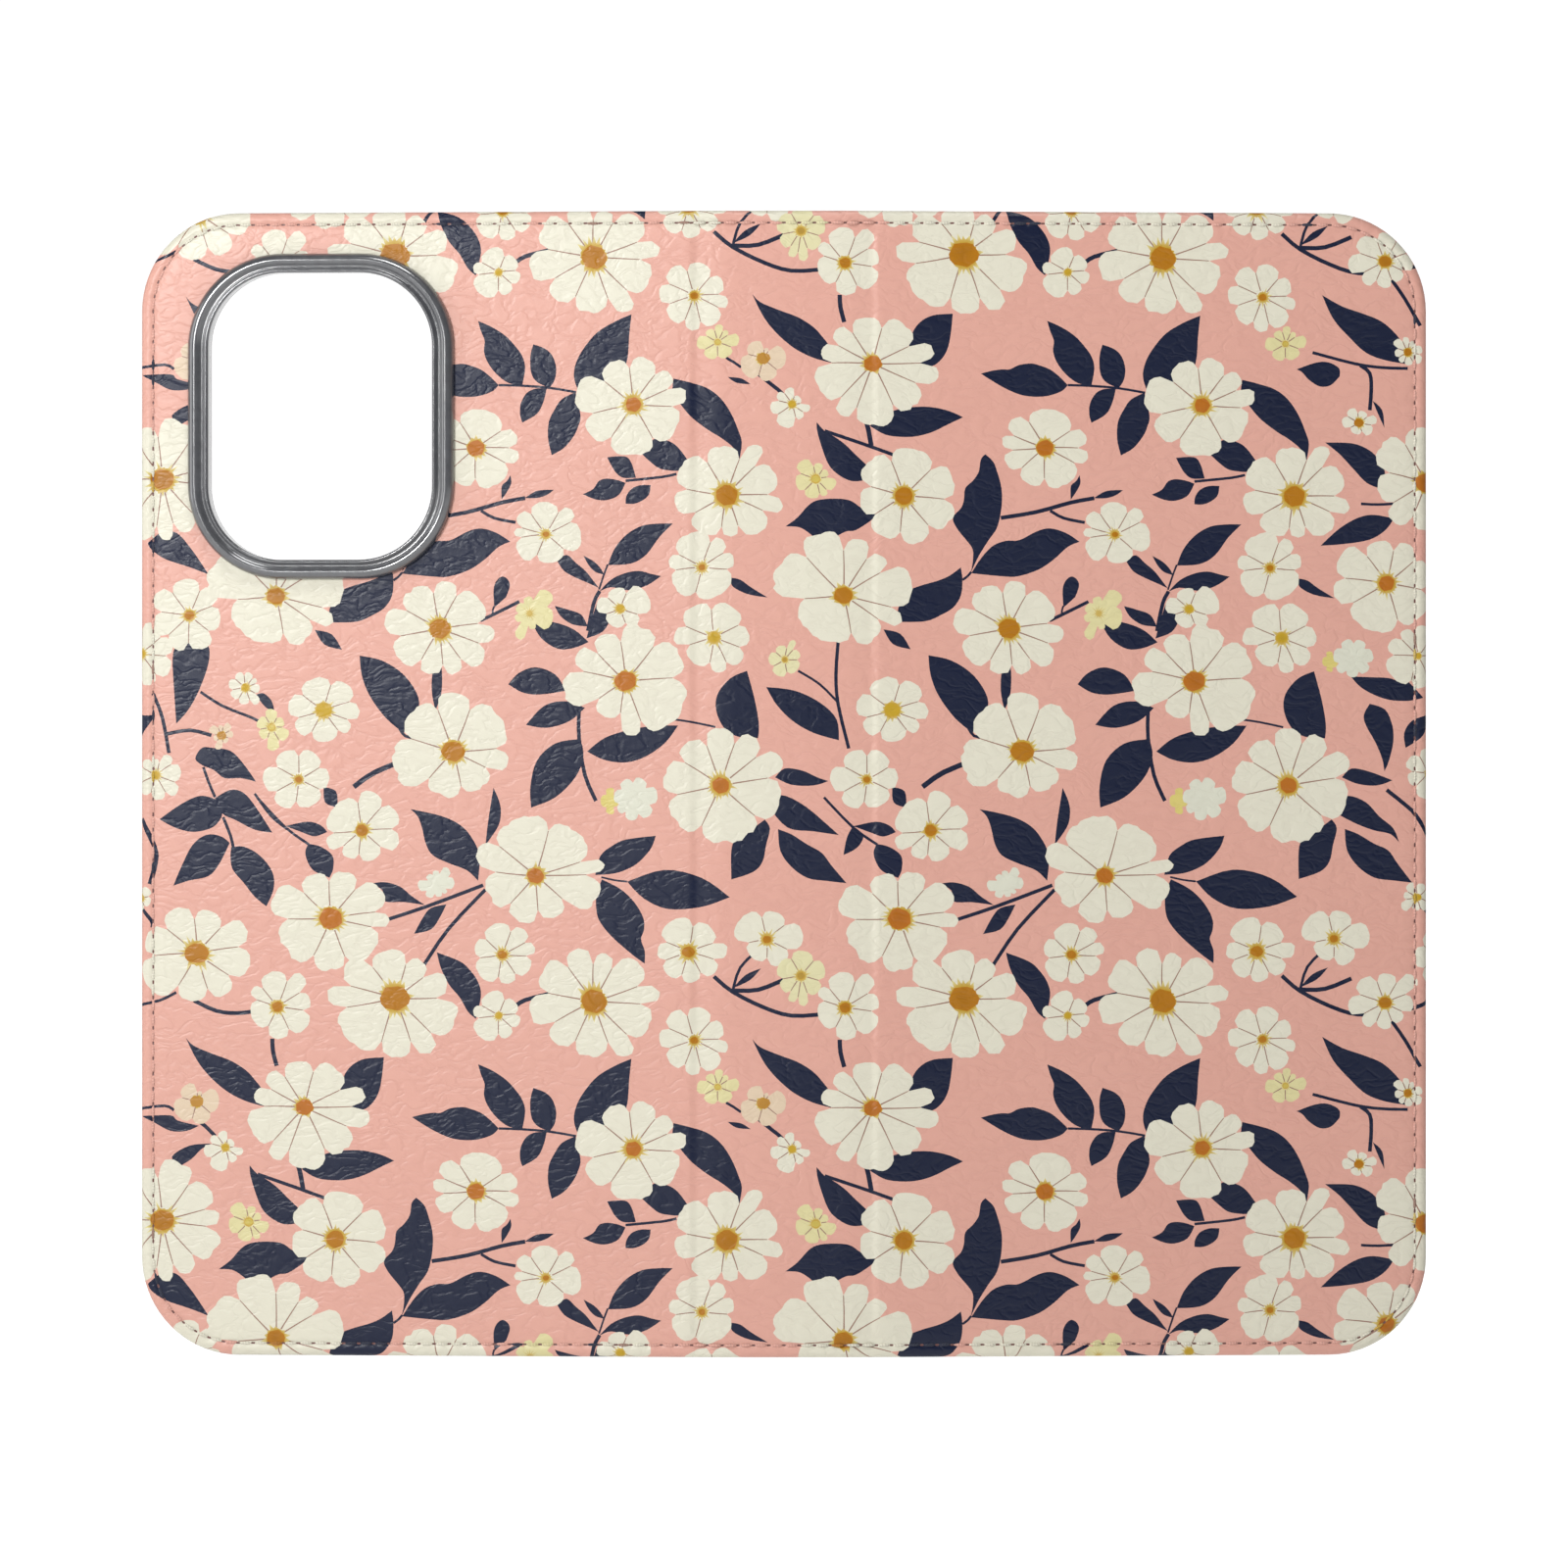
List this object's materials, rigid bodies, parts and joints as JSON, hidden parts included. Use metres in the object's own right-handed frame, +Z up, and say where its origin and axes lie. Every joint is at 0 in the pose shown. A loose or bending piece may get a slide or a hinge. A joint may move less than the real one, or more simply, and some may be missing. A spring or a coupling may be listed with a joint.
{
  "type": "phone case",
  "caption": "Folio wallet phone case: printed leather cover, soft spine, clip-in phone shell, framed camera opening and card pockets.",
  "frame": {"origin": "centre of the base of the case, stood on its lower edge and opened out to a shallow V", "axes": "+X from the back panel towards the front cover, +Y from the printed outside towards the inside, +Z up along the folds"},
  "size_m": [0.1737, 0.0233, 0.155],
  "materials": {
    "printed_leather": "semi-matt faux leather with a printed flower pattern and a fine pebble grain",
    "stiffener_board": "grey pressed board",
    "microfibre_lining": "short-napped microfibre",
    "pocket_leather": "fine-grained faux leather",
    "shell_plastic": "fine-textured moulded plastic",
    "ring_plastic": "glossy dark grey",
    "bond_sheet": "translucent double-sided adhesive sheet",
    "thread": "twisted polyester sewing thread",
    "steel": "nickel-plated"
  },
  "bodies": {
    "back_panel": {"outer_skin_back": "printed_leather", "stiffener_back": "stiffener_board", "lining_back": "microfibre_lining", "camera_ring": "ring_plastic", "shell_bond_sheet": "bond_sheet", "phone_shell": "shell_plastic", "keeper_plate_lower": "steel", "keeper_plate_upper": "steel", "seam_thread_back_outer": "thread", "seam_thread_back_inner": "thread"},
    "spine": {"outer_skin_spine": "printed_leather", "stiffener_spine": "stiffener_board", "lining_spine": "microfibre_lining", "seam_thread_spine_bottom_outer": "thread", "seam_thread_spine_bottom_inner": "thread", "seam_thread_spine_top_outer": "thread", "seam_thread_spine_top_inner": "thread", "fold_skin_back": "printed_leather", "fold_lining_back": "microfibre_lining", "fold_skin_cover": "printed_leather", "fold_lining_cover": "microfibre_lining"},
    "front_cover": {"outer_skin_cover": "printed_leather", "stiffener_cover": "stiffener_board", "lining_cover": "microfibre_lining", "magnet_lower": "steel", "magnet_upper": "steel", "cash_pocket": "pocket_leather", "card_pocket_rear": "pocket_leather", "card_pocket_middle": "pocket_leather", "card_pocket_front": "pocket_leather", "pocket_seam_thread": "thread", "seam_thread_cover_outer": "thread", "seam_thread_cover_inner": "thread"}
  },
  "joints": [
    {"name": "back_fold", "type": "hinge", "parent": "back_panel", "child": "spine", "pos_m": [-0.008, -0.009, 0], "axis": [0, 0, 1], "range_deg": [-96, 84], "deforming": ["fold_skin_back", "fold_lining_back"]},
    {"name": "cover_fold", "type": "hinge", "parent": "spine", "child": "front_cover", "pos_m": [0.0094, -0.00717, 0], "axis": [0, 0, 1], "range_deg": [-96, 84], "deforming": ["fold_skin_cover", "fold_lining_cover"]}
  ]
}
